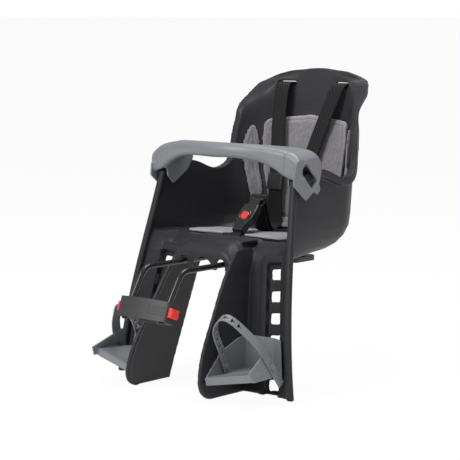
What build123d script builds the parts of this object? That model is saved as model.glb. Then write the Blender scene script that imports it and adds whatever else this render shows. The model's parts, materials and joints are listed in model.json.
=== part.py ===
from build123d import *
import os
from math import cos, radians, sin, sqrt

# Frame: origin on the axis of the bicycle tube, at the middle of the clamp block.
# +Z is up, the child faces -Y, and +X is the child's left. All sizes are in millimetres.

# Shell
WALL = 4.0
BACK_REACH = 520.0
SHELL_REACH = 230.0
SKY = 460.0

# Bucket and backrest: height, rear half width, back depth, rear corner radius
SHELL_LEVELS = [
    (140.0, 141.3, 406.0, 74.0),
    (204.0, 142.0, 418.0, 78.0),
    (292.0, 141.0, 435.0, 92.0),
    (410.0, 133.0, 458.0, 104.0),
]
BUCKET_BOTTOM = 82.0
BOTTOM_SIDE_TUCK = 36.0
BOTTOM_BACK_TUCK = 80.0
BOTTOM_CORNER_TUCK = 15.0
BOTTOM_STEPS = 5

# Side view of the top edge (depth, height) with the way it moves when the edge is inset
TOP_EDGE = [
    (150.0, 211.0, 0.0, -1.0),
    (192.0, 217.0, 0.0, -1.0),
    (275.0, 227.0, 0.0, -1.0),
    (335.0, 210.0, 0.0, -1.0),
    (364.0, 221.0, 0.7, -0.7),
    (374.0, 258.0, 1.0, 0.0),
    (388.0, 304.0, 1.0, 0.0),
    (414.0, 333.0, 0.8, -0.6),
    (433.0, 366.0, 0.4, 0.0),
    (438.0, 420.0, 0.0, 0.0),
]

# Front view of the backrest's arch (half width, height), from the side to the top
ARCH_EDGE = [(147.0, 265.0), (142.0, 316.0), (117.0, 358.0), (62.0, 384.0)]
BACKREST_TOP = 393.0
ARCH_DEPTH_START = 380.0
FLANGE = 9.0
FLANGE_DEPTH = 15.0

# Seat pan
PAN_FRONT_HEIGHT = 107.0
PAN_REAR_HEIGHT = 89.0
PAN_CREST = 208.0
PAN_REAR = 412.0
PAN_START = 160.0

# Leg guards
GUARD_TOP = 106.0
GUARD_BOTTOM = -147.0
GUARD_LOW_LEVELS = [0.0, -70.0, -147.0]
GUARD_BACK_LOW = 139.0
GUARD_RAKE = 0.187
LIP_START = 62.0
LIP_REACH = 31.0
LIP_STEPS = 6
INNER_WALL_X = 66.0
INNER_WALL_HEIGHT = 49.0
INNER_SPLAY = 0.1
OUTER_CORNER_X = 125.0
OUTER_CORNER_HEIGHT = 90.0
OUTER_SPLAY = 0.14
OUTER_CORNER_RADIUS = 20.0
RIM_LEVELS = [(410.0, 134.0, 238.0), (214.0, 150.0, 194.0), (87.0, 166.0, 164.0), (-25.0, 181.0, 141.0),
              (-147.0, 195.0, 131.0)]
RIM_TOP = 214.0
RIM_WIDTH = 13.0
RIM_DEPTH = 10.0
RIM_ROUND = 4.0

# Inner leg wall, side view in its own tilted plane (depth, height above INNER_WALL_HEIGHT)
INNER_FRONT = [(149.0, 44.0), (107.0, -7.0), (71.0, -68.0), (41.0, -121.0), (28.0, -165.0)]
INNER_TOE = (35.0, -187.0)
INNER_HEEL_START = (58.0, -196.0)
INNER_HEEL = (139.0, -196.0)
INNER_REAR_TOP = (199.0, 4.0)
INNER_TOP_REAR = (206.0, 44.0)
INNER_RIM_WIDTH = 7.0
INNER_RIM_DEPTH = 8.0

# Rail of square holes in each leg guard
HOLE_COUNT = 6
HOLE_PITCH = 37.4
HOLE_WIDTH = 24.0
HOLE_HEIGHT = 17.5
HOLE_ROUND = 2.0
FIRST_HOLE_X = 124.0
FIRST_HOLE_HEIGHT = 54.0
HOLE_SPLAY = 0.12
RAIL_WIDTH = 32.0
RAIL_DEPTH = 7.0
RAIL_WALL = 3.0
RAIL_END = 15.0
RAIL_ROUND = 5.0
FRAME_WIDTH = 12.0
FRAME_ROUND = 9.0
FRAME_PROUD = 3.0

# Pommel hood
HOOD_FRONT = 129.0
HOOD_NOSE_LENGTH = 42.0
HOOD_NOSE_FOOT = 80.0
HOOD_TOP = 107.0
HOOD_REAR = 250.0
HOOD_REAR_DROP = 3.5
HOOD_FRONT_HALF_WIDTH = 66.0
HOOD_HALF_WIDTH = 71.0
HOOD_SHOULDER = 38.0
HOOD_FRONT_SHOULDER = 22.0
HOOD_STEPS = 5
HOOD_BOTTOM = 57.0
HOOD_ARCH_RADIUS = 25.0
HOOD_ARCH_HEIGHT = 52.0
ROD_HOLE_RADIUS = 9.5

# Belt slots
STRAP_SLOT_X = 64.0
STRAP_SLOT_HEIGHT = 364.0
STRAP_SLOT_LENGTH = 36.0
STRAP_SLOT_WIDTH = 9.0
CROTCH_SLOT_Y = 216.0
CROTCH_SLOT_LENGTH = 26.0

# Clearances
FIT = 0.05
SLIDE_FIT = 0.08
REST_GAP = 0.3
MOVING_GAP = 0.35

# Pads
PAD_THICKNESS = 8.0
PAD_ROUND = 14.0
CENTRE_PAD = [(95.0, 299.0), (97.0, 262.0), (91.0, 204.0), (75.0, 150.0), (50.0, 104.0)]
CENTRE_PAD_TOP = 309.0
SIDE_PAD = [(114.0, 287.0), (120.5, 264.0), (120.5, 214.0), (113.0, 172.0), (104.0, 149.0), (96.0, 142.0),
            (91.0, 152.0), (98.5, 199.0), (103.0, 240.0), (106.0, 272.0)]
PAD_FRONT = 300.0
SEAT_PAD = [(112.0, 212.0), (121.0, 300.0), (90.0, 352.0)]
SEAT_PAD_THICKNESS = 6.0
SEAT_PAD_ROUND = 16.0
SEAT_PAD_NOTCH = 24.0
SEAT_PAD_NOTCH_DEPTH = 36.0
SEAT_PAD_NOTCH_ROUND = 10.0

# Block on the bicycle's tube, in the tilted plane of the clamp
BLOCK_TILT = 20.0
TUBE_RADIUS = 17.0
BLOCK_HEIGHT = 34.0
BLOCK_HALF_WIDTH = 55.0
BLOCK_FRONT = 28.0
BLOCK_FRONT_END = 19.0
BLOCK_REAR_END = 6.0
BLOCK_ROUND = 4.0
JAW_HALF_WIDTH = 36.0
JAW_SIDE_GAP = 1.0
JAW_GAP = 3.0
JAW_DEPTH = 24.0
JAW_ROUND = 8.0
BOLT_RADIUS = 3.0
BOLT_HEAD_RADIUS = 5.0
BOLT_HEAD_HEIGHT = 5.0
BOLT_X = 28.0
BOLT_Z = 9.0
BOLT_DEPTH = 12.0
BOLT_SOCKET_RADIUS = 2.9
BOLT_SOCKET_DEPTH = 3.0
BOLT_TIP_GAP = 0.5

# Support rod
ROD_TILT = 32.0
ROD_RADIUS = 5.0
ROD_HALF_SPACING = 42.5
ROD_AHEAD = 8.0
ROD_HEIGHT = 67.0
ROD_REAR = 330.0
ROD_BEND = 26.0
ROD_END_PROUD = 5.0

# Saddle ribs under the pan and the plate that holds the rod in them
SADDLE_RIBS = [290.0, 312.0]
SADDLE_HALF_WIDTH = 82.0
SADDLE_BOSS_RADIUS = 6.0
PLATE_FRONT = 282.0
PLATE_REAR = 342.0
PLATE_HALF_WIDTH = 84.0
PLATE_BOTTOM = 57.5
PLATE_ROUND = 10.0
PLATE_SCREW_X = 64.0
PLATE_SCREW_RADIUS = 2.5
PLATE_SCREW_HEAD_RADIUS = 5.0
PLATE_SCREW_HEAD_HEIGHT = 3.0
PLATE_SCREW_LENGTH = 24.0

# Release buttons of the block
BUTTON_HEIGHT = 16.0
BUTTON_DEPTH = 20.0
BUTTON_BACK = 4.0
BUTTON_PROUD = 7.0
BUTTON_TRAVEL = 4.0
BUTTON_SEATED = 1.5
BUTTON_ROUND = 3.0
LATCH_THICKNESS = 2.4
LATCH_HALF_DEPTH = 9.0
LATCH_LEVEL = -2.0
LATCH_BRIDGE = 4.0

# Safety bar: sections at equal steps from its middle to its end (front, rear, underside, top)
BAR_END = 165.5
BAR_SECTIONS = [(144.0, 176.0, 247.0, 275.0), (145.0, 177.0, 248.0, 275.0), (148.5, 182.0, 248.0, 274.5),
                (155.0, 191.0, 245.0, 273.5), (164.0, 204.0, 238.5, 272.0), (171.5, 224.0, 226.0, 269.5),
                (176.5, 246.0, 211.0, 265.0), (176.0, 251.0, 203.0, 250.0)]
BAR_LEAN = 6.0
BAR_FALL = 3.0
BAR_TUCK = 4.0
BAR_REAR_HEIGHT = 26.0
BAR_ROUND = 11.0
BAR_ROOF = 236.0
BAR_FRONT_WALL = 185.5
BAR_RIBS = [200.0, 240.0]
CHEEK_THICKNESS = 4.0
CHEEK_ROUND = 4.0
OUTER_CHEEK = [(196.0, 248.0), (178.0, 226.0), (176.0, 206.0), (209.0, 179.0), (231.0, 193.0), (240.0, 186.0),
               (249.0, 197.0), (244.0, 204.0), (251.0, 228.0), (240.0, 248.0)]
INNER_CHEEK = [(192.0, 246.0), (193.0, 206.0), (208.0, 190.0), (246.0, 212.0), (262.0, 234.0), (256.0, 246.0)]
WINDOW_LENGTH = 42.0
WINDOW_WIDTH = 20.0
WINDOW_TILT = 45.0
WINDOW_CENTRE = (214.5, 221.0)
WINDOW_ROUND = 3.0
WINDOW_FRAME = 5.0
WINDOW_FRAME_PROUD = 1.5
WING_OUTSIDE = 161.5
WING_INSIDE = 141.0

# Harness: route of a strap in side view, first behind the backrest, then down its front to the seat pad.
# Each strap has its own places across the backrest, and the left one lies over the right one.
BELT_WIDTH = 30.0
BELT_THICKNESS = 1.8
STRAP_BEHIND = [(451.0, 322.0), (455.0, 346.0), (456.0, 357.0), (452.0, 363.5), (444.0, 365.0)]
STRAP_DOWN = [(436.0, 364.5), (430.0, 361.0), (426.0, 353.0), (411.0, 290.0), (393.0, 212.0), (383.5, 160.0),
              (381.0, 122.0), (378.0, 111.0), (370.0, 104.5)]
STRAP_ADJUSTER_STEP = 4
STRAP_ON_PAD = 356.0
LEFT_STRAP = {"across": [64.0, 63.0, 60.0, 40.0, 18.0, 18.0, 18.0], "lies_to": 312.0, "layer": 1,
              "rise": [(304.0, 111.0), (299.0, 118.0), (290.0, 138.0)]}
RIGHT_STRAP = {"across": [64.0, 64.0, 64.0, 62.0, 48.0, 48.0, 41.0], "lies_to": 300.0, "layer": 0,
               "rise": [(292.0, 111.0), (288.0, 120.0), (284.0, 138.0)]}
SLIDE_WIDTH = 35.0
SLIDE_HEIGHT = 30.0
SLIDE_DEPTH = 9.0
SLIDE_ROUND = 3.0

# Buckle in its own leaning plane
BUCKLE_TILT = 46.0
BUCKLE_BASE = (225.0, 112.0)
BUCKLE_OUTLINE = [(11.0, 0.0), (13.0, 16.0), (18.5, 28.0), (18.5, 43.0), (15.5, 60.0)]
BUCKLE_DEPTH = 14.0
BUCKLE_ROUND = 3.0
BUCKLE_BUTTON_RADIUS = 8.5
BUCKLE_BUTTON_PROUD = 1.5
BUCKLE_BUTTON_DEPTH = 4.0
BUCKLE_BUTTON_TRAVEL = 2.0
BUCKLE_BUTTON_PLACE = 33.0
CROTCH_BELT_WIDTH = 20.0
CROTCH_BELT_INSERT = 8.0
TONGUE_WIDTH = 22.0
TONGUE_DEPTH = 3.0
TONGUE_LIFT = 2.4
TONGUE_STEP = 10.0
TONGUE_INSERT = 14.0
TONGUE_HEAD_WIDTH = 34.0
TONGUE_HEAD_LENGTH = 14.0
TONGUE_NECK = 2.0

# Footrests, with the plan of the tray from its inner edge (distance outwards, depth)
FLOOR_TOP = -108.0
FLOOR_THICKNESS = 4.0
FLOOR_LIP = 13.0
FLOOR_LIP_WALL = 3.5
FLOOR_SLOPE = 0.167
FLOOR_FRONT = [(2.0, 37.0), (101.0, 55.0)]
FLOOR_OUTER_REAR = (77.0, 128.0)
FLOOR_REAR_WIDTH = 60.0
FLOOR_ROUND = 12.0
FOOT_WALL = 3.0
FOOT_BACK_TOP = -50.0
FOOT_SIDE = [(45.0, -104.0), (84.0, -70.0), (128.0, -54.0)]
FOOT_BACK_WING = 24.0
PEG_SIDE_GAP = 0.8
PEG_PROUD = 3.0
FOOT_HOLE = 4

# Foot strap: an arch in a leaning plane, route along the plane from the rivet on the inner side
FOOT_STRAP_WIDTH = 18.0
FOOT_STRAP_THICKNESS = 2.4
FOOT_STRAP_ANCHOR = (91.8, 88.0, -96.0)
FOOT_STRAP_FACING = (-0.21, 0.89, 0.39)
FOOT_STRAP_RISE = [(0.0, -8.0), (0.0, 40.0), (3.0, 78.0), (24.0, 97.0), (55.0, 71.0)]
FOOT_STRAP_TAIL = 62.0
STRAP_HOLE_START = 34.0
STRAP_HOLE_PITCH = 14.0
STRAP_HOLE_COUNT = 9
STRAP_HOLE_HEAD = (3.0, 9.0)
STRAP_HOLE_STEM = (5.0, 3.0)
LUG_LENGTH = 50.0
LUG_PLACE = (80.0, 26.0)
LUG_TURN = 14.0
LUG_FRONT = 58.0
LUG_REAR = 12.0
STUD_RADIUS = 3.0
STUD_HEAD_RADIUS = 5.5
STUD_HEAD_HEIGHT = 2.5
STUD_GRIP = 7.5
STUD_DOWN_LUG = 26.0


def both_sides(solid):
    """A solid on the child's left and its mirror image on the right."""
    return [solid, mirror(solid, about=Plane.YZ)]


def line_between(levels, height, column):
    """Straight interpolation of one column of a list of levels that starts with the height."""
    ordered = sorted(levels)
    for low, high in zip(ordered, ordered[1:]):
        if height <= high[0]:
            share = (height - low[0]) / (high[0] - low[0])
            return low[column] + share * (high[column] - low[column])
    return ordered[-1][column]


def rim_at(height):
    """Centre of the front rim of a wing or leg guard at a height."""
    return line_between(RIM_LEVELS, height, 1), line_between(RIM_LEVELS, height, 2)


def shell_levels():
    """Levels of the bucket and backrest; the bottom of the bucket is tucked in along a quarter ellipse."""
    height, rear, back, corner = SHELL_LEVELS[0]
    tucked = []
    for step in range(BOTTOM_STEPS):
        turn = radians(90.0 * step / BOTTOM_STEPS)
        tuck = 1 - sin(turn)
        level = BUCKET_BOTTOM + (height - BUCKET_BOTTOM) * (1 - cos(turn))
        tucked.append((level, rear - BOTTOM_SIDE_TUCK * tuck, back - BOTTOM_BACK_TUCK * tuck,
                       corner - BOTTOM_CORNER_TUCK * tuck))
    return tucked + SHELL_LEVELS


def shell_path(level, outward):
    """U-shaped plan line of the bucket and backrest, moved outward by an offset."""
    height, rear_x, back_y, corner = level
    rim_x, rim_y = rim_at(height)
    rim = rim_x + outward
    rear = rear_x + outward
    back = back_y + outward
    return FilletPolyline((-rim, rim_y), (-rear, back), (rear, back), (rim, rim_y), radius=corner + outward)


def shell_layer(outward, thickness):
    """Thin wall that follows the bucket and backrest; its outer face lies outward of the shell's."""
    faces = []
    for level in shell_levels():
        outer = shell_path(level, outward)
        inner = shell_path(level, outward - thickness)
        ends = [Line(outer @ 0, inner @ 0), Line(outer @ 1, inner @ 1)]
        faces.append(Pos(0, 0, level[0]) * make_face([outer, inner, *ends]))
    return loft(faces, ruled=True)


def shell_fill(outward):
    """Solid that fills the plan of the bucket and backrest."""
    faces = []
    for level in shell_levels():
        outer = shell_path(level, outward)
        faces.append(Pos(0, 0, level[0]) * make_face([outer, Line(outer @ 1, outer @ 0)]))
    return loft(faces, ruled=True)


def above_top_edge(inset):
    """Everything above and in front of the shell's top edge, as seen from the side."""
    points = [(y + inset * dy, z + inset * dz) for y, z, dy, dz in TOP_EDGE]
    edge = Spline(*points)
    rest = Polyline(edge @ 1, (points[-1][0], SKY), (points[0][0], SKY), edge @ 0)
    return extrude(Plane.YZ * make_face([edge, rest]), amount=SHELL_REACH, both=True)


def above_arch(inset):
    """Everything outside the rounded top of the backrest, as seen from the front."""
    half = [(x - inset, z - inset) for x, z in ARCH_EDGE]
    top = (0.0, BACKREST_TOP - inset)
    left = [(-x, z) for x, z in half]
    edge = Spline(*left, top, *reversed(half))
    low = half[0][1]
    rest = Polyline(edge @ 1, (SHELL_REACH, low), (SHELL_REACH, SKY), (-SHELL_REACH, SKY),
                    (-SHELL_REACH, low), edge @ 0)
    back = Plane((0, BACK_REACH, 0), x_dir=(1, 0, 0), z_dir=(0, -1, 0))
    return extrude(back * make_face([edge, rest]), amount=BACK_REACH - ARCH_DEPTH_START)


def bucket():
    """Bucket wall and backrest with the turned-out flange along its top edge."""
    wall = shell_layer(0.0, WALL) - above_top_edge(0.0) - above_arch(0.0)
    band = shell_layer(FLANGE, FLANGE + WALL / 2) - above_top_edge(0.0) - above_arch(0.0)
    flange = (band & above_top_edge(FLANGE_DEPTH)) + (band & above_arch(FLANGE_DEPTH))
    return wall + flange


def guard_back(height):
    """Depth of the back wall of a leg guard; its top curves back into the pan."""
    lean = min(1.0, max(0.0, height - LIP_START) / (GUARD_TOP - LIP_START))
    return GUARD_BACK_LOW + GUARD_RAKE * (height - GUARD_BOTTOM) + LIP_REACH * (1 - sqrt(1 - lean ** 2))


def guard_levels():
    """Heights of the sections of a leg guard, close together where it curves into the pan."""
    turns = [radians(90.0 * step / LIP_STEPS) for step in range(LIP_STEPS, -1, -1)]
    return [LIP_START + (GUARD_TOP - LIP_START) * sin(turn) for turn in turns] + GUARD_LOW_LEVELS


def inner_wall_x(height):
    """Inner face of the wall between the leg and the middle of the seat."""
    return INNER_WALL_X + INNER_SPLAY * (INNER_WALL_HEIGHT - height)


def guard_line(height, ahead, start, reach=0.0):
    """Plan line ahead of the front face of a leg guard's back and outer wall, to its rim or to a reach."""
    back = guard_back(height)
    corner = Vector(OUTER_CORNER_X + OUTER_SPLAY * (OUTER_CORNER_HEIGHT - height), back)
    rim = Vector(*rim_at(height))
    along = (rim - corner).normalized()
    forward = Vector(0, -1)
    inward = Vector(along.Y, -along.X)
    mitre = (forward + inward) * (ahead / (1 + forward.dot(inward)))
    end = corner + along * reach if reach else rim
    return FilletPolyline(Vector(start, back) + forward * ahead, corner + mitre, end + inward * ahead,
                          radius=OUTER_CORNER_RADIUS - ahead)


def wall_between(front, rear):
    """Face between two plan lines of a wall."""
    return make_face([front, rear, Line(front @ 0, rear @ 0), Line(front @ 1, rear @ 1)])


def guard_section(height):
    """Plan of the back wall and outer wall of the left leg guard at a height."""
    start = inner_wall_x(height) + WALL / 2
    return Pos(0, 0, height) * wall_between(guard_line(height, 0.0, start), guard_line(height, -WALL, start))


def rail_plane():
    """Plane on the back wall of the left leg guard, centred on the first hole, facing forward."""
    rise = Vector(-HOLE_SPLAY, GUARD_RAKE, 1)
    facing = Vector(0, -1, GUARD_RAKE)
    origin = (FIRST_HOLE_X, guard_back(FIRST_HOLE_HEIGHT), FIRST_HOLE_HEIGHT)
    return Plane(origin, x_dir=rise.cross(facing), z_dir=facing)


def hole_height(index):
    """Place of a hole down the rail."""
    return -HOLE_PITCH * index


def guard():
    """Back and outer wall of the left leg guard with its rail of holes."""
    walls = loft([guard_section(height) for height in guard_levels()], ruled=True)
    length = HOLE_PITCH * (HOLE_COUNT - 1) + 2 * RAIL_END + HOLE_HEIGHT / 2
    middle = hole_height(HOLE_COUNT - 1) / 2
    plane = rail_plane()
    depth = RAIL_DEPTH + RAIL_WALL
    box = plane * Pos(0, middle, -depth / 2 - WALL / 4) * Box(
        RAIL_WIDTH + 2 * RAIL_WALL, length + 2 * RAIL_WALL, depth - WALL / 2)
    surround = Pos((RAIL_WALL - FRAME_WIDTH) / 2, middle) * RectangleRounded(
        RAIL_WIDTH + FRAME_WIDTH + RAIL_WALL, length + 2 * FRAME_WIDTH, FRAME_ROUND)
    frame = plane * Pos(0, 0, -WALL / 2) * extrude(surround, amount=FRAME_PROUD + WALL / 2)
    opening = Pos(0, middle) * RectangleRounded(RAIL_WIDTH, length, RAIL_ROUND)
    recess = plane * Pos(0, 0, -RAIL_DEPTH) * extrude(opening, amount=RAIL_DEPTH + WALL)
    outline = RectangleRounded(HOLE_WIDTH, HOLE_HEIGHT, HOLE_ROUND)
    holes = [plane * Pos(0, hole_height(i), -2 * depth) * extrude(outline, amount=2 * depth)
             for i in range(HOLE_COUNT)]
    floor = Pos(0, 0, GUARD_BOTTOM - SKY / 2) * Box(2 * SHELL_REACH, 2 * BACK_REACH, SKY)
    return (walls + box + frame) - recess - holes - floor


def inner_wall():
    """Inner wall of the left leg guard with its rolled front rim."""
    facing = Vector(1, 0, INNER_SPLAY)
    plane = Plane((INNER_WALL_X, 0, INNER_WALL_HEIGHT), x_dir=(0, 1, 0), z_dir=facing)
    front = Spline(*INNER_FRONT)
    toe = ThreePointArc(front @ 1, INNER_TOE, INNER_HEEL_START)
    rest = Polyline(INNER_HEEL_START, INNER_HEEL, INNER_REAR_TOP, INNER_TOP_REAR, front @ 0)
    outline = make_face([front, toe, rest])
    sheet = extrude(plane * outline, amount=WALL)
    inward = WALL - INNER_RIM_WIDTH
    rim = extrude(plane * outline, amount=inward)
    behind = extrude(plane * Pos(INNER_RIM_DEPTH, 0) * outline, amount=2 * inward)
    return sheet + (rim - behind)


def front_rim():
    """Rolled front rim of the left wing and leg guard."""
    faces = []
    for height, x, y in RIM_LEVELS:
        if height > RIM_TOP:
            continue
        faces.append(Pos(x, y, height) * RectangleRounded(RIM_WIDTH, RIM_DEPTH, RIM_ROUND))
    return loft(faces)


def hood_levels():
    """Depth, top, half width and shoulder radius along the hood; its nose is a quarter ellipse."""
    levels = []
    for step in range(HOOD_STEPS + 1):
        turn = radians(90.0 * step / HOOD_STEPS)
        rise = sin(turn)
        levels.append((HOOD_FRONT + HOOD_NOSE_LENGTH * (1 - cos(turn)),
                       HOOD_NOSE_FOOT + (HOOD_TOP - HOOD_NOSE_FOOT) * rise,
                       HOOD_FRONT_HALF_WIDTH + (HOOD_HALF_WIDTH - HOOD_FRONT_HALF_WIDTH) * rise,
                       HOOD_FRONT_SHOULDER + (HOOD_SHOULDER - HOOD_FRONT_SHOULDER) * rise))
    levels.append((HOOD_REAR, HOOD_TOP - HOOD_REAR_DROP, HOOD_HALF_WIDTH, HOOD_SHOULDER))
    return levels


def hood_solid(inset):
    """Rounded body of the pommel hood, shrunk by an inset and moved back by as much."""
    faces = []
    for depth, top, half, radius in hood_levels():
        width = half - inset
        height = top - inset
        path = FilletPolyline((-width, HOOD_BOTTOM - inset), (-width, height), (width, height),
                              (width, HOOD_BOTTOM - inset), radius=radius - inset)
        plane = Plane((0, depth + inset, 0), x_dir=(1, 0, 0), z_dir=(0, -1, 0))
        faces.append(plane * make_face([path, Line(path @ 1, path @ 0)]))
    return loft(faces, ruled=True)


def hood():
    """Pommel hood with its arched lower edge and the two ways for the rod."""
    shell = hood_solid(0.0) - hood_solid(WALL)
    along = Rot(90, 0, 0)
    shell -= Pos(0, HOOD_FRONT, HOOD_ARCH_HEIGHT) * along * Cylinder(HOOD_ARCH_RADIUS, HOOD_NOSE_LENGTH)
    for side in (-1, 1):
        place = Pos(side * ROD_HALF_SPACING, HOOD_FRONT, ROD_HEIGHT)
        below = Box(2 * ROD_HOLE_RADIUS, HOOD_NOSE_LENGTH, 2 * ROD_HOLE_RADIUS)
        shell -= place * along * Cylinder(ROD_HOLE_RADIUS, HOOD_NOSE_LENGTH)
        shell -= place * Pos(0, 0, -ROD_HOLE_RADIUS) * below
    return shell


def pan_height(depth):
    """Height of the top of the seat pan at a depth behind its crest."""
    share = (depth - PAN_CREST) / (PAN_REAR - PAN_CREST)
    return PAN_FRONT_HEIGHT + share * (PAN_REAR_HEIGHT - PAN_FRONT_HEIGHT)


def pan_slab(front, rear, lift, thickness, half_width):
    """Slab that follows the top of the pan, lifted off it by a gap."""
    high = PAN_FRONT_HEIGHT + lift
    crest = max(front, PAN_CREST)
    top = [(front, high)] if front < PAN_CREST else []
    top += [(crest, pan_height(crest) + lift), (rear, pan_height(rear) + lift)]
    low = [(y, z - thickness) for y, z in reversed(top)]
    return extrude(Plane.YZ * make_face(Polyline(*top, *low, close=True)), amount=half_width, both=True)


def pan():
    """Seat pan, cut away over the legs and in front of the pommel."""
    slab = pan_slab(PAN_START, PAN_REAR, 0.0, WALL, SHELL_REACH) & shell_fill(-WALL / 2)
    rim_x, rim_y = rim_at(GUARD_TOP)
    corner_x = OUTER_CORNER_X + OUTER_SPLAY * (OUTER_CORNER_HEIGHT - GUARD_TOP)
    half = [(SHELL_REACH, 0.0), (SHELL_REACH, rim_y), (rim_x, rim_y), (corner_x, guard_back(GUARD_TOP)),
            (INNER_WALL_X, guard_back(GUARD_TOP)), (INNER_WALL_X, HOOD_FRONT + HOOD_NOSE_LENGTH)]
    outline = half + [(-x, y) for x, y in reversed(half)]
    legs = extrude(make_face(Polyline(*outline, close=True)), amount=SKY)
    return slab - legs


def saddle():
    """Ribs and screw bosses under the pan that the rod lies in."""
    under = pan_slab(PAN_CREST, PAN_REAR, -WALL / 2, SKY, SHELL_REACH)
    ribs = []
    for depth in SADDLE_RIBS:
        ribs.append(Pos(0, depth, ROD_HEIGHT + SKY / 2) * Box(2 * SADDLE_HALF_WIDTH, WALL, SKY))
    for side in (-1, 1):
        boss = extrude(Circle(SADDLE_BOSS_RADIUS), amount=SKY)
        ribs += [Pos(side * PLATE_SCREW_X, depth, ROD_HEIGHT) * boss for depth in SADDLE_RIBS]
    return ((Part() + ribs) & under) - support_rod(FIT) - plate_screws(FIT)


def strap_slots():
    """Ways through the shell for the two shoulder straps and the crotch strap."""
    behind = Plane((0, BACK_REACH, STRAP_SLOT_HEIGHT), x_dir=(1, 0, 0), z_dir=(0, -1, 0))
    outline = SlotOverall(STRAP_SLOT_LENGTH, STRAP_SLOT_WIDTH)
    slots = []
    for side in (-1, 1):
        slots.append(extrude(behind * Pos(side * STRAP_SLOT_X, 0) * outline, amount=BACK_REACH - ARCH_DEPTH_START))
    crotch = Pos(0, CROTCH_SLOT_Y, HOOD_BOTTOM) * SlotOverall(CROTCH_SLOT_LENGTH, STRAP_SLOT_WIDTH)
    slots.append(extrude(crotch, amount=SKY - HOOD_BOTTOM))
    return slots


def seat_shell():
    """The whole moulding: backrest, bucket, pan, pommel hood and leg guards."""
    left = guard() + inner_wall() + front_rim()
    right = mirror(left, about=Plane.YZ)
    return bucket() + pan() + hood() + left + right + saddle() - strap_slots()


def front_prism(outline, front):
    """Prism of an outline in front view, from a depth back through the backrest."""
    plane = Plane((0, BACK_REACH, 0), x_dir=(1, 0, 0), z_dir=(0, -1, 0))
    return extrude(plane * outline, amount=BACK_REACH - front)


def pad_layer():
    """Layer of felt on the inside of the backrest."""
    return shell_layer(-(WALL + REST_GAP), PAD_THICKNESS)


def centre_back_pad():
    """Felt pad on the middle of the backrest."""
    half = CENTRE_PAD + [(-x, z) for x, z in reversed(CENTRE_PAD)]
    outline = make_face(Polyline(*half, (0, CENTRE_PAD_TOP), close=True))
    corners = outline.vertices().sort_by(Axis.Y)[:-1]
    return pad_layer() & front_prism(fillet(corners, radius=PAD_ROUND), PAD_FRONT)


def side_pad_left():
    """Felt pad on the left bolster of the backrest."""
    return pad_layer() & front_prism(make_face(Spline(*SIDE_PAD, periodic=True)), PAD_FRONT)


def seat_pad():
    """Felt pad on the pan, notched for the crotch strap."""
    front = SEAT_PAD[0][1]
    outline = make_face(Polyline(*SEAT_PAD, *[(-x, y) for x, y in reversed(SEAT_PAD)], close=True))
    outline = fillet(outline.vertices(), radius=SEAT_PAD_ROUND)
    notch = Pos(0, front) * RectangleRounded(2 * SEAT_PAD_NOTCH, 2 * SEAT_PAD_NOTCH_DEPTH, SEAT_PAD_NOTCH_ROUND)
    lift = REST_GAP + SEAT_PAD_THICKNESS
    slab = pan_slab(front, SEAT_PAD[-1][1], lift, SEAT_PAD_THICKNESS, SHELL_REACH)
    return slab & extrude(outline - notch, amount=SKY)


def block_plane():
    """Plane of the clamp: its normal is the tube's axis and its Y points back and down."""
    tilt = radians(BLOCK_TILT)
    return Plane((0, 0, 0), x_dir=(1, 0, 0), z_dir=(0, sin(tilt), cos(tilt)))


def both_ways(face, height):
    """A face of the clamp's plane made solid by equal amounts up and down the tube."""
    return extrude(face, amount=height / 2, both=True)


def bolt_row():
    """Places of the four clamp bolts: across and along the tube."""
    return [(x * BOLT_X, z * BOLT_Z) for x in (-1, 1) for z in (-1, 1)]


def clamp_bolt(gap, tip_gap):
    """One socket-head bolt along the clamp's -Y from the jaw's rear face; a gap makes its hole."""
    shank = JAW_DEPTH + JAW_GAP / 2 + BOLT_DEPTH - tip_gap
    turn = Rot(90, 0, 0)
    bolt = turn * Pos(0, 0, shank / 2) * Cylinder(BOLT_RADIUS + gap, shank)
    if gap:
        return bolt
    bolt += turn * Pos(0, 0, -BOLT_HEAD_HEIGHT / 2) * Cylinder(BOLT_HEAD_RADIUS, BOLT_HEAD_HEIGHT)
    socket = extrude(RegularPolygon(BOLT_SOCKET_RADIUS, 6), amount=BOLT_SOCKET_DEPTH)
    return bolt - turn * Pos(0, 0, -BOLT_HEAD_HEIGHT) * socket


def clamp_bolts(gap=0.0, tip_gap=BOLT_TIP_GAP):
    """The four bolts of the clamp, or their holes."""
    place = block_plane().location
    return [place * Pos(x, JAW_DEPTH, z) * clamp_bolt(gap, tip_gap) for x, z in bolt_row()]


def button_pocket():
    """Pocket in the left end of the block for the button and its latch plate, in the clamp's plane."""
    floor = BLOCK_HALF_WIDTH - BUTTON_SEATED - BUTTON_TRAVEL - MOVING_GAP
    length = BLOCK_HALF_WIDTH + BUTTON_PROUD - floor
    middle = BUTTON_BACK - BUTTON_DEPTH / 2
    hole = Pos(floor + length / 2, middle, 0) * Box(
        length, BUTTON_DEPTH + 2 * MOVING_GAP, BUTTON_HEIGHT + 2 * MOVING_GAP)
    latch_floor = latch_inner_end() - BUTTON_TRAVEL - MOVING_GAP
    way = Pos((latch_floor + BLOCK_HALF_WIDTH) / 2, -ROD_AHEAD, LATCH_LEVEL) * Box(
        BLOCK_HALF_WIDTH - latch_floor, 2 * (LATCH_HALF_DEPTH + MOVING_GAP), LATCH_THICKNESS + 2 * MOVING_GAP)
    return hole + way


def latch_inner_end():
    """Inner end of the latch plate, past the rod."""
    return ROD_HALF_SPACING - ROD_RADIUS - MOVING_GAP - LATCH_BRIDGE


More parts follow.
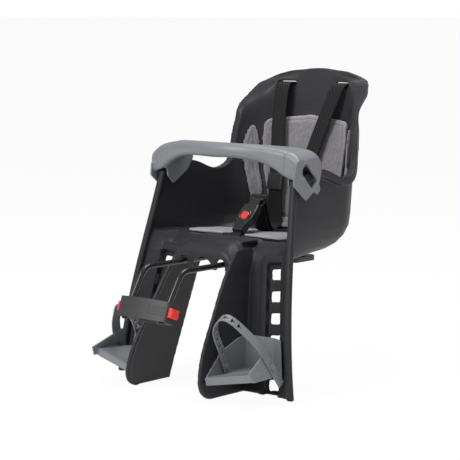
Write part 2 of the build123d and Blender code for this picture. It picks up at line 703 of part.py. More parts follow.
def block_housing():
    """Main body of the block: the half of the clamp in front of the tube, with the ways for the rod."""
    inner = JAW_HALF_WIDTH + JAW_SIDE_GAP
    split = -JAW_GAP / 2
    front = ThreePointArc((-BLOCK_HALF_WIDTH, -BLOCK_FRONT_END), (0, -BLOCK_FRONT),
                          (BLOCK_HALF_WIDTH, -BLOCK_FRONT_END))
    rear = [(BLOCK_HALF_WIDTH, -BLOCK_FRONT_END), (BLOCK_HALF_WIDTH, BLOCK_REAR_END), (inner, BLOCK_REAR_END),
            (inner, split)]
    rest = Polyline(*rear, *[(-x, y) for x, y in reversed(rear)])
    body = both_ways(make_face([front, rest]), BLOCK_HEIGHT)
    ends = body.edges().filter_by(Axis.Z).group_by(Axis.Y)[0]
    body = fillet(ends, radius=BLOCK_ROUND)
    body -= Cylinder(TUBE_RADIUS, 2 * BLOCK_HEIGHT)
    body -= both_sides(button_pocket())
    way = rod_plane().location * Pos(ROD_HALF_SPACING) * Cylinder(ROD_RADIUS + SLIDE_FIT, 2 * BLOCK_HEIGHT)
    return block_plane().location * body - both_sides(way) - clamp_bolts(FIT, 0.0)


def clamp_jaw():
    """Rear half of the clamp, drawn up by the four bolts."""
    split = JAW_GAP / 2
    outline = Rectangle(2 * JAW_HALF_WIDTH, JAW_DEPTH - split)
    body = both_ways(Pos(0, (split + JAW_DEPTH) / 2) * outline, BLOCK_HEIGHT)
    corners = body.edges().filter_by(Axis.Z).group_by(Axis.Y)[-1]
    body = fillet(corners, radius=JAW_ROUND) - Cylinder(TUBE_RADIUS, 2 * BLOCK_HEIGHT)
    return block_plane().location * body - clamp_bolts(FIT, 0.0)


def release_button_left():
    """Red button that stands proud of the block's left end."""
    length = BUTTON_PROUD + BUTTON_SEATED
    middle = BUTTON_BACK - BUTTON_DEPTH / 2
    start = BLOCK_HALF_WIDTH - BUTTON_SEATED
    body = Pos(start + length / 2, middle, 0) * Box(length, BUTTON_DEPTH, BUTTON_HEIGHT)
    face = body.faces().sort_by(Axis.X)[-1]
    return block_plane().location * fillet(face.edges(), radius=BUTTON_ROUND)


def latch_left():
    """Latch plate on the left button; its slot clears the rod over the button's travel."""
    inner = latch_inner_end()
    outer = BLOCK_HALF_WIDTH - BUTTON_SEATED
    plate = Box(outer - inner, 2 * LATCH_HALF_DEPTH, LATCH_THICKNESS)
    plate = Pos((inner + outer) / 2, -ROD_AHEAD, LATCH_LEVEL) * plate
    width = 2 * (ROD_RADIUS + MOVING_GAP)
    slot = extrude(SlotOverall(width + BUTTON_TRAVEL, width), amount=BLOCK_HEIGHT, both=True)
    way = rod_plane().location * Pos(ROD_HALF_SPACING + BUTTON_TRAVEL / 2) * slot
    return block_plane().location * plate - way


def rod_plane():
    """Plane across the legs of the rod, just ahead of the tube's axis."""
    tilt = radians(ROD_TILT)
    ahead = Vector(0, -cos(tilt), sin(tilt)) * ROD_AHEAD
    return Plane(ahead, x_dir=(1, 0, 0), z_dir=(0, sin(tilt), cos(tilt)))


def support_rod(gap=0.0):
    """Bent steel rod: two legs in the block, two runs under the pan and a cross run behind them."""
    start = rod_plane().origin
    along = rod_plane().z_dir
    foot = start - along * (BLOCK_HEIGHT / 2 + ROD_END_PROUD)
    bend = start + along * ((ROD_HEIGHT - start.Z) / along.Z)
    half = [foot, bend, Vector(0, ROD_REAR, ROD_HEIGHT)]
    left = [point + Vector(ROD_HALF_SPACING, 0, 0) for point in half]
    right = [point - Vector(ROD_HALF_SPACING, 0, 0) for point in reversed(half)]
    path = FilletPolyline(*left, *right, radius=ROD_BEND)
    return sweep(Plane(left[0], z_dir=along) * Circle(ROD_RADIUS + gap), path=path)


def plate_screws(gap=0.0):
    """The four screws of the rod's plate, or the holes for them."""
    screws = []
    for side in (-1, 1):
        for depth in SADDLE_RIBS:
            place = Pos(side * PLATE_SCREW_X, depth, PLATE_BOTTOM)
            screw = extrude(Circle(PLATE_SCREW_RADIUS + gap), amount=PLATE_SCREW_LENGTH + gap)
            if not gap:
                screw += extrude(Circle(PLATE_SCREW_HEAD_RADIUS), amount=-PLATE_SCREW_HEAD_HEIGHT)
            screws.append(place * screw)
    return screws


def rod_plate():
    """Plate that clamps the rod up into the saddle ribs."""
    middle = (PLATE_FRONT + PLATE_REAR) / 2
    outline = RectangleRounded(2 * PLATE_HALF_WIDTH, PLATE_REAR - PLATE_FRONT, PLATE_ROUND)
    plate = Pos(0, middle, PLATE_BOTTOM) * extrude(outline, amount=ROD_HEIGHT - PLATE_BOTTOM)
    return plate - support_rod(FIT) - plate_screws(FIT)


def bar_station(x, front, rear, low, top):
    """Section of the safety bar at a distance from the middle: upright front, flat top and short rear."""
    corners = [(front, low), (front + BAR_LEAN, top - BAR_FALL), (rear - BAR_TUCK, top),
               (rear, top - BAR_REAR_HEIGHT)]
    outline = FilletPolyline(*corners, radius=BAR_ROUND, close=True)
    return Plane((x, 0, 0), x_dir=(0, 1, 0), z_dir=(1, 0, 0)) * make_face(outline)


def side_plate(outline, start, end):
    """Plate of a rounded outline in side view between two distances to the left."""
    face = make_face(FilletPolyline(*outline, radius=CHEEK_ROUND, close=True))
    return Pos(start, 0, 0) * extrude(Plane.YZ * face, amount=end - start)


def wing_channel():
    """Space in the left end of the bar for the wing of the shell."""
    length = BACK_REACH - BAR_FRONT_WALL
    centre = ((WING_INSIDE + WING_OUTSIDE) / 2, BAR_FRONT_WALL + length / 2, BAR_ROOF / 2)
    return Pos(*centre) * Box(WING_OUTSIDE - WING_INSIDE, length, BAR_ROOF)


def bar_ribs():
    """Two ribs in the left end of the bar that rest on the wing."""
    middle = (WING_INSIDE + WING_OUTSIDE) / 2
    rib = Box(WING_OUTSIDE - WING_INSIDE + CHEEK_THICKNESS, CHEEK_THICKNESS, BAR_ROOF)
    ribs = [Pos(middle, depth, BAR_ROOF / 2 + CHEEK_THICKNESS) * rib for depth in BAR_RIBS]
    return (Part() + ribs) & above_top_edge(-REST_GAP)


def safety_bar():
    """Grip bar across the seat, one moulding; each end straddles a wing and has a framed window outside."""
    last = len(BAR_SECTIONS) - 1
    steps = range(-last, last + 1)
    bar = loft([bar_station(BAR_END * step / last, *BAR_SECTIONS[abs(step)]) for step in steps])
    turned = Plane.YZ * Pos(*WINDOW_CENTRE) * Rot(0, 0, -WINDOW_TILT)
    pane = turned * RectangleRounded(WINDOW_LENGTH, WINDOW_WIDTH, WINDOW_ROUND)
    border = turned * RectangleRounded(WINDOW_LENGTH + 2 * WINDOW_FRAME, WINDOW_WIDTH + 2 * WINDOW_FRAME,
                                       WINDOW_ROUND + WINDOW_FRAME)
    frame = Pos(WING_OUTSIDE, 0, 0) * extrude(border, amount=BAR_END + WINDOW_FRAME_PROUD - WING_OUTSIDE)
    outer = side_plate(OUTER_CHEEK, WING_OUTSIDE, BAR_END)
    inner = side_plate(INNER_CHEEK, WING_INSIDE - CHEEK_THICKNESS, WING_INSIDE)
    window = Pos(WING_INSIDE, 0, 0) * extrude(pane, amount=BAR_END)
    bar = bar - both_sides(wing_channel()) + both_sides(outer + inner + frame)
    return bar - both_sides(window) + both_sides(bar_ribs())


def ribbon(route, width, thickness):
    """Flat webbing along a route, its width across the seat."""
    faces = []
    for index, (x, y, z) in enumerate(route):
        before = route[max(index - 1, 0)]
        after = route[min(index + 1, len(route) - 1)]
        along = Vector(0, after[1] - before[1], after[2] - before[2])
        faces.append(Plane((x, y, z), x_dir=(1, 0, 0), z_dir=along) * Rectangle(width, thickness))
    return loft(faces, ruled=True)


def buckle_plane():
    """Plane of the buckle: its Y runs up the buckle and its normal faces forward and up."""
    tilt = radians(BUCKLE_TILT)
    return Plane((0, *BUCKLE_BASE), x_dir=(1, 0, 0), z_dir=(0, -cos(tilt), sin(tilt)))


def buckle_top():
    """Distance from the base of the buckle to its top."""
    return BUCKLE_OUTLINE[-1][1]


def tongue_slot_place(layer):
    """Distance from the base of the buckle to the webbing slot of a tongue; the front one reaches further."""
    return buckle_top() + TONGUE_NECK + TONGUE_HEAD_LENGTH / 2 + TONGUE_STEP * layer


def tongue_lift(layer):
    """Height of a tongue's middle above the buckle's middle."""
    return TONGUE_LIFT * (2 * layer - 1)


def harness_route(strap):
    """Route of a shoulder strap on the left, over the backrest and the seat pad and up to its tongue."""
    route = [(STRAP_SLOT_X, y, z) for y, z in STRAP_BEHIND]
    layer = strap["layer"]
    last = strap["across"][-1]
    places = strap["across"] + [last] * (len(STRAP_DOWN) - len(strap["across"]))
    route += [(x, y, z) for x, (y, z) in zip(places, STRAP_DOWN)]
    lying = 2 * REST_GAP + SEAT_PAD_THICKNESS + BELT_THICKNESS / 2 + layer * (BELT_THICKNESS + REST_GAP)
    for x, depth in ((last, STRAP_ON_PAD), (0.0, strap["lies_to"])):
        route.append((x, depth, pan_height(depth) + lying))
    route += [(0.0, y, z) for y, z in strap["rise"]]
    end = tongue_lift(layer) + TONGUE_DEPTH / 2 + REST_GAP
    for outward in (-BUCKLE_DEPTH / 2, end):
        point = buckle_plane().from_local_coords((0, tongue_slot_place(layer), outward))
        route.append((point.X, point.Y, point.Z))
    return route


def harness_strap_left():
    """Shoulder strap of the child's left side, which slants across the backrest."""
    return ribbon(harness_route(LEFT_STRAP), BELT_WIDTH, BELT_THICKNESS)


def harness_strap_right():
    """Shoulder strap of the child's right side."""
    return mirror(ribbon(harness_route(RIGHT_STRAP), BELT_WIDTH, BELT_THICKNESS), about=Plane.YZ)


def webbing_slide(start, end, belt_width):
    """Plastic slide in the middle of a straight stretch of webbing."""
    along = Vector(*end) - Vector(*start)
    middle = Vector(*start) + along / 2
    plane = Plane(middle, x_dir=(1, 0, 0), z_dir=(0, along.Y, along.Z))
    outline = RectangleRounded(SLIDE_WIDTH - BELT_WIDTH + belt_width, SLIDE_DEPTH, SLIDE_ROUND)
    way = Rectangle(belt_width + 2 * REST_GAP, BELT_THICKNESS + 2 * REST_GAP)
    return extrude(plane * (outline - way), amount=SLIDE_HEIGHT / 2, both=True)


def strap_adjuster(strap):
    """Adjuster on a shoulder strap in front of the backrest."""
    route = harness_route(strap)
    first = len(STRAP_BEHIND) + STRAP_ADJUSTER_STEP
    return webbing_slide(route[first], route[first + 1], BELT_WIDTH)


def crotch_route():
    """Route of the crotch strap: under the pan, through its slot and up into the buckle."""
    plane = buckle_plane()
    entry = plane.from_local_coords((0, 0, 0))
    inside = plane.from_local_coords((0, CROTCH_BELT_INSERT, 0))
    top = pan_height(CROTCH_SLOT_Y)
    under = top - 2 * WALL
    return [(0, CROTCH_SLOT_Y, under - SLIDE_HEIGHT), (0, CROTCH_SLOT_Y, under), (0, CROTCH_SLOT_Y, top),
            (0, entry.Y, entry.Z), (0, inside.Y, inside.Z)]


def crotch_strap():
    """Short webbing from under the pan up into the buckle."""
    return ribbon(crotch_route(), CROTCH_BELT_WIDTH, BELT_THICKNESS)


def buckle_body():
    """Body of the buckle with the ways for the button, the tongues and the crotch strap."""
    half = BUCKLE_OUTLINE
    outline = make_face(Polyline(*half, *[(-x, y) for x, y in reversed(half)], close=True))
    body = extrude(outline, amount=BUCKLE_DEPTH / 2, both=True)
    front = body.faces().sort_by(Axis.Z)[-1]
    body = fillet(front.edges(), radius=BUCKLE_ROUND)
    well = BUCKLE_BUTTON_DEPTH + BUCKLE_BUTTON_TRAVEL + MOVING_GAP
    body -= Pos(0, BUCKLE_BUTTON_PLACE, BUCKLE_DEPTH / 2) * Cylinder(BUCKLE_BUTTON_RADIUS + MOVING_GAP, 2 * well)
    way = Box(TONGUE_WIDTH + 2 * REST_GAP, 2 * (TONGUE_INSERT + REST_GAP), TONGUE_DEPTH + 2 * REST_GAP)
    body -= [Pos(0, buckle_top(), tongue_lift(layer)) * way for layer in (0, 1)]
    insert = 2 * (CROTCH_BELT_INSERT + REST_GAP)
    body -= Box(CROTCH_BELT_WIDTH + 2 * REST_GAP, insert, BELT_THICKNESS + 4 * REST_GAP)
    return buckle_plane().location * body


def buckle_button():
    """Round red button of the buckle."""
    height = BUCKLE_BUTTON_PROUD + BUCKLE_BUTTON_DEPTH
    place = Pos(0, BUCKLE_BUTTON_PLACE, BUCKLE_DEPTH / 2 - BUCKLE_BUTTON_DEPTH)
    return buckle_plane().location * place * extrude(Circle(BUCKLE_BUTTON_RADIUS), amount=height)


def buckle_tongue(layer):
    """Tongue of a strap: a bar in the buckle and a slotted head for the webbing."""
    reach = tongue_slot_place(layer)
    start = buckle_top() - TONGUE_INSERT
    bar = Pos(0, (start + reach) / 2) * Rectangle(TONGUE_WIDTH, reach - start)
    head = RectangleRounded(TONGUE_HEAD_WIDTH, TONGUE_HEAD_LENGTH, SLIDE_ROUND)
    slot = Rectangle(BELT_WIDTH + 2 * REST_GAP, BELT_THICKNESS + 4 * REST_GAP)
    outline = bar + Pos(0, reach) * head - Pos(0, reach) * slot
    tongue = extrude(outline, amount=TONGUE_DEPTH / 2, both=True)
    return buckle_plane().location * Pos(0, 0, tongue_lift(layer)) * tongue


def foot_side_x(height):
    """Outer face of the footrest's inner side at a height."""
    return inner_wall_x(height) + WALL + REST_GAP


def tray_plane():
    """Underside of the left footrest's tray at its inner edge; the tray rises to the outside."""
    low = FLOOR_TOP - FLOOR_LIP
    inner_x = foot_side_x(low) + (FLOOR_SLOPE - INNER_SPLAY) * FLOOR_LIP
    return Plane((inner_x, 0, low), x_dir=(1, 0, FLOOR_SLOPE), z_dir=(-FLOOR_SLOPE, 0, 1))


def foot_tray(rear):
    """Tray of the left footrest with a lip round its underside."""
    outline = make_face(Polyline((0, rear), *FLOOR_FRONT, FLOOR_OUTER_REAR, (FLOOR_REAR_WIDTH, rear), close=True))
    outer = outline.vertices().sort_by(Axis.X)[-2:]
    outline = fillet(outer, radius=FLOOR_ROUND)
    hollow = extrude(offset(outline, amount=-FLOOR_LIP_WALL), amount=FLOOR_LIP - FLOOR_THICKNESS)
    return tray_plane().location * (extrude(outline, amount=FLOOR_LIP) - hollow)


def foot_side(away):
    """Inner side of the left footrest, up along the inner wall of the leg guard."""
    plane = Plane((foot_side_x(0.0), 0, 0), x_dir=(0, 1, 0), z_dir=(1, 0, INNER_SPLAY))
    floor = FLOOR_TOP - FLOOR_THICKNESS
    outline = [(FLOOR_FRONT[0][1], floor), *FOOT_SIDE, (guard_back(FOOT_BACK_TOP) - away, FOOT_BACK_TOP),
               (guard_back(floor) - away, floor)]
    return extrude(plane * make_face(Polyline(*outline, close=True)), amount=FOOT_WALL)


def foot_back(away):
    """Back plate of the left footrest, bent like the wall behind it."""
    faces = []
    for height in (FLOOR_TOP - FLOOR_THICKNESS, FOOT_BACK_TOP):
        front, rear = [guard_line(height, ahead, foot_side_x(height), FOOT_BACK_WING)
                       for ahead in (away + FOOT_WALL, away)]
        faces.append(Pos(0, 0, height) * wall_between(front, rear))
    return loft(faces, ruled=True)


def footrest_left():
    """Left footrest: tray, inner side, back plate, outer side with the strap's lug, and the peg in the rail."""
    away = FRAME_PROUD + REST_GAP
    rest = foot_tray(guard_back(FLOOR_TOP - FLOOR_LIP) - away) + foot_side(away) + foot_back(away) + lug()
    reach = RAIL_DEPTH + RAIL_WALL + PEG_PROUD
    length = reach + away + FOOT_WALL / 2
    peg = Box(HOLE_WIDTH - 2 * PEG_SIDE_GAP, HOLE_HEIGHT - 2 * PEG_SIDE_GAP, length)
    rest += rail_plane() * Pos(0, hole_height(FOOT_HOLE), length / 2 - reach) * peg
    return rest - strap_studs(FIT)


def foot_strap_plane():
    """Plane of the left foot strap's arch, at its rivet; its X points outwards and its Y up."""
    facing = Vector(*FOOT_STRAP_FACING)
    across = Vector(1, 0, 0) - facing * (facing.X / facing.dot(facing))
    return Plane(FOOT_STRAP_ANCHOR, x_dir=across, z_dir=facing * -1)


def lug_place():
    """Place on the strap's route where the lug starts, turned along the strap's outer leg."""
    return Pos(*LUG_PLACE) * Rot(0, 0, LUG_TURN)


def lug():
    """Outer side of the left footrest: its rear rises as a lug inside the outer leg of the strap."""
    inset = FOOT_STRAP_THICKNESS / 2 + REST_GAP + FOOT_WALL / 2
    outline = Pos(-inset, -LUG_LENGTH / 2) * Rectangle(FOOT_WALL, LUG_LENGTH)
    wall = foot_strap_plane() * lug_place() * outline
    side = extrude(wall, amount=LUG_FRONT) + extrude(wall, amount=-LUG_REAR)
    under = tray_plane().location * Pos(0, 0, -SKY / 2) * Box(2 * SHELL_REACH, 2 * BACK_REACH, SKY)
    return side - under


def strap_hole():
    """T-shaped hole of a foot strap, cut through it along its length."""
    through = 3 * FOOT_STRAP_THICKNESS
    head_length, head_width = STRAP_HOLE_HEAD
    stem_length, stem_width = STRAP_HOLE_STEM
    stem = Pos((head_length + stem_length) / 2, 0, 0) * Box(stem_length, through, stem_width)
    return Box(head_length, through, head_width) + stem


def foot_strap_left():
    """Left foot strap: one arch of soft plastic from the rivet over to the lug, with a row of holes."""
    turn = radians(LUG_TURN)
    down = Vector(sin(turn), -cos(turn))
    arch = Spline(*FOOT_STRAP_RISE, LUG_PLACE, tangents=[(0, 1), down])
    tail = Line(LUG_PLACE, Vector(*LUG_PLACE) + down * FOOT_STRAP_TAIL)
    strap = extrude(trace(Curve() + [arch, tail], FOOT_STRAP_THICKNESS), amount=FOOT_STRAP_WIDTH / 2, both=True)
    for index in range(STRAP_HOLE_COUNT):
        share = (STRAP_HOLE_START + STRAP_HOLE_PITCH * index) / arch.length
        strap -= Plane(arch @ share, x_dir=arch % share, z_dir=(0, 0, 1)).location * strap_hole()
    return foot_strap_plane().location * strap - strap_studs(FIT)


def strap_studs(gap=0.0):
    """Rivet at the inner side and stud on the lug of the left foot strap, or the holes for them."""
    plane = foot_strap_plane()
    across = Rot(0, 90, 0)
    inset = FOOT_STRAP_THICKNESS / 2 + REST_GAP
    shank = across * Pos(0, 0, -STUD_GRIP / 2) * Cylinder(STUD_RADIUS + gap, STUD_GRIP + gap)
    if not gap:
        shank += across * Pos(0, 0, STUD_HEAD_HEIGHT / 2) * Cylinder(STUD_HEAD_RADIUS, STUD_HEAD_HEIGHT)
    places = [Pos(0, 0), lug_place() * Pos(0, -STUD_DOWN_LUG)]
    return [plane.location * place * Pos(inset, 0) * shank for place in places]


def webbing_keepers():
    """Slides behind the backrest and under the pan that keep the straps from slipping out."""
    behind = harness_route(LEFT_STRAP)
    left = webbing_slide(behind[0], behind[1], BELT_WIDTH)
    crotch = crotch_route()
    return [left, mirror(left, about=Plane.YZ), webbing_slide(crotch[0], crotch[1], CROTCH_BELT_WIDTH)]


def across(solids):
    """The same pieces on the child's right side."""
    return [mirror(solid, about=Plane.YZ) for solid in solids]


def nodes():
    """Every piece of the seat by name, each a list of solids."""
    pieces = {
        "seat_shell": [seat_shell()],
        "centre_back_pad": [centre_back_pad()],
        "seat_pad": [seat_pad()],
        "safety_bar": [safety_bar()],
        "harness_strap_left": [harness_strap_left()],
        "harness_strap_right": [harness_strap_right()],
        "strap_adjuster_left": [strap_adjuster(LEFT_STRAP)],
        "strap_adjuster_right": across([strap_adjuster(RIGHT_STRAP)]),
        "webbing_keepers": webbing_keepers(),
        "crotch_strap": [crotch_strap()],
        "buckle_body": [buckle_body()],
        "buckle_button": [buckle_button()],
        "buckle_tongue_left": [buckle_tongue(LEFT_STRAP["layer"])],
        "buckle_tongue_right": [buckle_tongue(RIGHT_STRAP["layer"])],
        "support_rod": [support_rod()],
        "rod_plate": [rod_plate()],
        "plate_screws": plate_screws(),
        "block_housing": [block_housing()],
        "clamp_jaw": [clamp_jaw()],
        "clamp_bolts": clamp_bolts(),
    }
    pairs = {
        "side_pad": [side_pad_left()],
        "footrest": [footrest_left()],
        "foot_strap": [foot_strap_left()],
        "foot_strap_studs": strap_studs(),
        "release_button": [release_button_left()],
        "latch": [latch_left()],
    }
    for name, solids in pairs.items():
        pieces[name + "_left"] = solids
        pieces[name + "_right"] = across(solids)
    return pieces


if __name__ == "__main__":
    os.makedirs("parts", exist_ok=True)
    for name, solids in nodes().items():
        export_step(Compound(children=solids) if len(solids) > 1 else solids[0], f"parts/{name}.step")
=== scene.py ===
# Child bike seat: the looks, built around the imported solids
import json
from math import cos, exp, pi, radians, sin, sqrt

import bmesh
import bpy
from mathutils import Matrix, Vector
from mathutils.bvhtree import BVHTree
from mathutils.kdtree import KDTree


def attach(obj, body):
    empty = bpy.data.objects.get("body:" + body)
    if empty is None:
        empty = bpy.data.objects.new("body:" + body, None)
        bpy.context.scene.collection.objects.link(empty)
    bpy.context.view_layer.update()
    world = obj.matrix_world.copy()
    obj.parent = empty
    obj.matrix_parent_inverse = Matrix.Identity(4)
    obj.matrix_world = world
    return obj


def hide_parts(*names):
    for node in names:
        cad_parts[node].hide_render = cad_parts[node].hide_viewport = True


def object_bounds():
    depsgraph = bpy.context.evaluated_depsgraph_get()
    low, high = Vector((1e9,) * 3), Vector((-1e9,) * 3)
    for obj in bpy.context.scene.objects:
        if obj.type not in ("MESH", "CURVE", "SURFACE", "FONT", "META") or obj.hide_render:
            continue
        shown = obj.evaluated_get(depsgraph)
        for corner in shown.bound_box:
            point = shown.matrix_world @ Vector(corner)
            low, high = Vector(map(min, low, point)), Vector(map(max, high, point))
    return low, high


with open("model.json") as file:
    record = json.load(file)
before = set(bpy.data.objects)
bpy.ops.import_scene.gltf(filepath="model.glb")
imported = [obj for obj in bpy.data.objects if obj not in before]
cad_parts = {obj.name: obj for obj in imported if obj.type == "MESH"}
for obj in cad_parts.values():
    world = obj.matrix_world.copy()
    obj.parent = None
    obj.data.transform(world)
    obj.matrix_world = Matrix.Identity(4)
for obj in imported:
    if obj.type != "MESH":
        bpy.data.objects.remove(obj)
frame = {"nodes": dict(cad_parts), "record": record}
cad_low, cad_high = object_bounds()

MM = 0.001
BODY_OF = {node: body for body, nodes in frame["record"]["behaviour"]["bodies"].items() for node in nodes}
SLOT_OF = {entry["node"]: entry["material_slot"] for entry in frame["record"]["subparts"]}


# Camera: the photograph's place and lens
CAMERA_PLACE = Vector((1.9801, -2.0925, 0.4914))
CAMERA_TURN = radians(40.771)
CAMERA_DROP = radians(7.037)
SENSOR_WIDTH = 36.0
IMAGE_WIDTH = 460.0
FOCUS_PIXELS = 1750.0

camera = bpy.data.objects.new("camera", bpy.data.cameras.new("camera"))
bpy.context.scene.collection.objects.link(camera)
camera.data.sensor_width = SENSOR_WIDTH
camera.data.lens = FOCUS_PIXELS / IMAGE_WIDTH * SENSOR_WIDTH
look = Vector((-sin(CAMERA_TURN) * cos(CAMERA_DROP), cos(CAMERA_TURN) * cos(CAMERA_DROP), -sin(CAMERA_DROP)))
camera.location = CAMERA_PLACE
camera.rotation_mode = "QUATERNION"
camera.rotation_quaternion = look.to_track_quat("-Z", "Y")
bpy.context.scene.camera = camera
bpy.context.scene.view_settings.view_transform = "Standard"


# Materials
def linear(code):
    """The linear colour of an sRGB hex code."""
    parts = [int(code[i:i + 2], 16) / 255 for i in (1, 3, 5)]
    return [p / 12.92 if p <= 0.04045 else ((p + 0.055) / 1.055) ** 2.4 for p in parts] + [1.0]


def add(tree, kind, inputs=(), **settings):
    """Adds a node with its settings; an input is a value, or the socket that feeds it."""
    made = tree.nodes.new(kind)
    for name, value in settings.items():
        setattr(made, name, value)
    for name, value in dict(inputs).items():
        if isinstance(value, bpy.types.NodeSocket):
            tree.links.new(value, made.inputs[name])
        else:
            made.inputs[name].default_value = value
    return made


def new_material(name):
    """An empty node material and its tree."""
    material = bpy.data.materials.new(name)
    material.use_nodes = True
    material.node_tree.nodes.clear()
    return material, material.node_tree


def moulded_plastic(name, dark, light, roughness, grain, depth, ior=1.49, shine=0.5):
    """Injection-moulded plastic: even colour with faint flow marks, and a fine spark-eroded grain."""
    material, tree = new_material(name)
    where = add(tree, "ShaderNodeTexCoord").outputs["Object"]
    flow = add(tree, "ShaderNodeTexNoise", {"Vector": where, "Scale": 1 / (60 * MM), "Detail": 2.0})
    colour = add(tree, "ShaderNodeMix", {0: flow.outputs["Fac"], 6: linear(dark), 7: linear(light)},
                 data_type="RGBA")
    grit = add(tree, "ShaderNodeTexNoise", {"Vector": where, "Scale": 1 / (grain * MM), "Detail": 3.0})
    sheen = add(tree, "ShaderNodeMapRange", {"Value": grit.outputs["Fac"], "From Min": 0.3, "From Max": 0.7,
                                             "To Min": roughness - 0.06, "To Max": roughness + 0.06})
    bump = add(tree, "ShaderNodeBump", {"Height": grit.outputs["Fac"], "Strength": 0.5,
                                        "Distance": depth * MM})
    shader = add(tree, "ShaderNodeBsdfPrincipled", {
        "Base Color": colour.outputs[2], "Roughness": sheen.outputs["Result"],
        "Normal": bump.outputs["Normal"], "IOR": ior, "Specular IOR Level": shine})
    add(tree, "ShaderNodeOutputMaterial", {"Surface": shader.outputs["BSDF"]})
    return material


# Polypropylene has a soft satin sheen; the grain of its mould is drawn a little coarse to show
shell_plastic = moulded_plastic("moulded polypropylene black", "#2b2b2e", "#323235", 0.42, 1.3, 0.07,
                                shine=0.22)
grey_plastic = moulded_plastic("moulded polypropylene grey", "#6f7175", "#797b7f", 0.42, 1.3, 0.05)
# Soft strap plastic is duller than the trays
grey_rubber = moulded_plastic("moulded soft vinyl grey", "#6d6e71", "#77787b", 0.52, 1.0, 0.05, 1.53)
# Nylon is darker and a little glossier than polypropylene
black_plastic = moulded_plastic("moulded nylon black", "#1d1d1e", "#262627", 0.34, 1.0, 0.04, 1.53)
# Glass-filled nylon is duller, with a rougher skin
block_plastic = moulded_plastic("moulded glass-filled nylon black", "#2c2c2d", "#353536", 0.5, 1.6, 0.1, 1.53)
# ABS is bright and nearly glossy
red_plastic = moulded_plastic("moulded ABS red", "#e02a24", "#ee3a34", 0.28, 1.0, 0.02, 1.54)
# Powder coat flows to a smooth film with slight orange peel
powder_coat = moulded_plastic("powder coat black", "#141415", "#1b1b1c", 0.32, 2.2, 0.06, 1.5)


def plated_steel(name, dark, light):
    """Zinc-plated steel: grey metal with a faint spangle and a slightly uneven gloss."""
    material, tree = new_material(name)
    where = add(tree, "ShaderNodeTexCoord").outputs["Object"]
    spangle = add(tree, "ShaderNodeTexVoronoi", {"Vector": where, "Scale": 1 / (1.5 * MM)})
    colour = add(tree, "ShaderNodeMix", {0: spangle.outputs["Distance"], 6: linear(dark), 7: linear(light)},
                 data_type="RGBA")
    rub = add(tree, "ShaderNodeTexNoise", {"Vector": where, "Scale": 1 / (0.6 * MM), "Detail": 2.0})
    gloss = add(tree, "ShaderNodeMapRange", {"Value": rub.outputs["Fac"], "To Min": 0.24, "To Max": 0.44})
    bump = add(tree, "ShaderNodeBump", {"Height": rub.outputs["Fac"], "Strength": 0.3, "Distance": 0.02 * MM})
    shader = add(tree, "ShaderNodeBsdfPrincipled", {
        "Base Color": colour.outputs[2], "Roughness": gloss.outputs["Result"],
        "Normal": bump.outputs["Normal"], "Metallic": 1.0})
    add(tree, "ShaderNodeOutputMaterial", {"Surface": shader.outputs["BSDF"]})
    return material


zinc_plate = plated_steel("zinc plated steel", "#a5a6a8", "#c3c4c6")


def melange_felt(name, dark, light, edge):
    """Felt of dark and pale fibres: a mottled grey, soft at glancing angles, with a painted highlight that
    pales it towards its rounded edges.
    """
    material, tree = new_material(name)
    where = add(tree, "ShaderNodeTexCoord").outputs["Object"]
    # Fibres are about 0.03 mm thick; their tufts are drawn at 1.2 mm to show
    tuft = add(tree, "ShaderNodeTexNoise", {"Vector": where, "Scale": 1 / (1.2 * MM), "Detail": 4.0,
                                            "Roughness": 0.75, "Distortion": 1.2})
    mottle = add(tree, "ShaderNodeTexNoise", {"Vector": where, "Scale": 1 / (6 * MM), "Detail": 3.0})
    both = add(tree, "ShaderNodeMath", {0: tuft.outputs["Fac"], 1: mottle.outputs["Fac"]}, operation="ADD")
    share = add(tree, "ShaderNodeMapRange", {"Value": both.outputs[0], "From Min": 0.6, "From Max": 1.4})
    grey = add(tree, "ShaderNodeMix", {0: share.outputs["Result"], 6: linear(dark), 7: linear(light)},
               data_type="RGBA")
    # Painted highlight: the felt turns paler towards the pad's rounded edge, by a share that each pad carries
    edge_highlight = add(tree, "ShaderNodeAttribute", attribute_name="edge_highlight")
    highlight_share = add(tree, "ShaderNodeMath", {0: edge_highlight.outputs["Fac"], 1: 0.45}, operation="MULTIPLY")
    colour = add(tree, "ShaderNodeMix", {0: highlight_share.outputs[0], 6: grey.outputs[2], 7: linear(edge)},
                 data_type="RGBA")
    bump = add(tree, "ShaderNodeBump", {"Height": tuft.outputs["Fac"], "Strength": 0.6, "Distance": 0.5 * MM})
    shader = add(tree, "ShaderNodeBsdfPrincipled", {
        "Base Color": colour.outputs[2], "Normal": bump.outputs["Normal"], "Roughness": 0.92,
        "Sheen Weight": 0.25, "Sheen Roughness": 0.5, "Specular IOR Level": 0.25})
    add(tree, "ShaderNodeOutputMaterial", {"Surface": shader.outputs["BSDF"]})
    return material


# The third colour is the painted highlight along the pads' rounded edges
felt = melange_felt("melange felt grey", "#676568", "#88868a", "#a3a1a4")

BAND_RIB = 4.6
BAND_RIB_SLANT = radians(38)
# At a scale of 1 the wave texture multiplies its input by this
WAVE_FACTOR = 20


